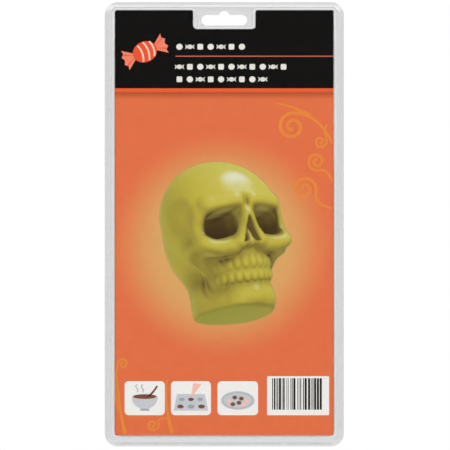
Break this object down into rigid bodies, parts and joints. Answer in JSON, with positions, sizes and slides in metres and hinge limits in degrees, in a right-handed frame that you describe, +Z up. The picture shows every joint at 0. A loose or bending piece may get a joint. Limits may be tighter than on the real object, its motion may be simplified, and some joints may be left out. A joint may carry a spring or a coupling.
{
  "type": "skull candy mould in retail pack",
  "caption": "Folding skull mould for sweets in a clear hinged pack, behind a printed card with a hang slot.",
  "frame": {"origin": "where a display peg bears, at the top of the hang slot's hump, in the plane where the two flanges meet", "axes": "+Z up the pack, -Y out of its printed front, +X to the right as seen from the front"},
  "size_m": [0.127, 0.0404, 0.236],
  "materials": {
    "pack_clear": "clear formed sheet, glossy",
    "card_print": "printed board, orange with a black header, satin",
    "mould_clear": "clear formed sheet, slightly hazy"
  },
  "bodies": {
    "tray": {"back_shell": "pack_clear", "mould_face_half": "mould_clear"},
    "cover": {"front_cover": "pack_clear", "printed_card": "card_print"},
    "mould_fold_leaf": {"mould_back_half": "mould_clear"}
  },
  "joints": [
    {"name": "cover_hinge", "type": "hinge", "parent": "tray", "child": "cover", "pos_m": [0, 0, -0.2314], "axis": [1, 0, 0], "range_deg": [0, 180]},
    {"name": "mould_fold", "type": "hinge", "parent": "tray", "child": "mould_fold_leaf", "pos_m": [0, 0.00035, -0.11915], "axis": [1, 0, 0], "range_deg": [0, 180]}
  ],
  "couplings": [
    {"joint": "mould_fold", "follows": "cover_hinge", "ratio": 1}
  ]
}
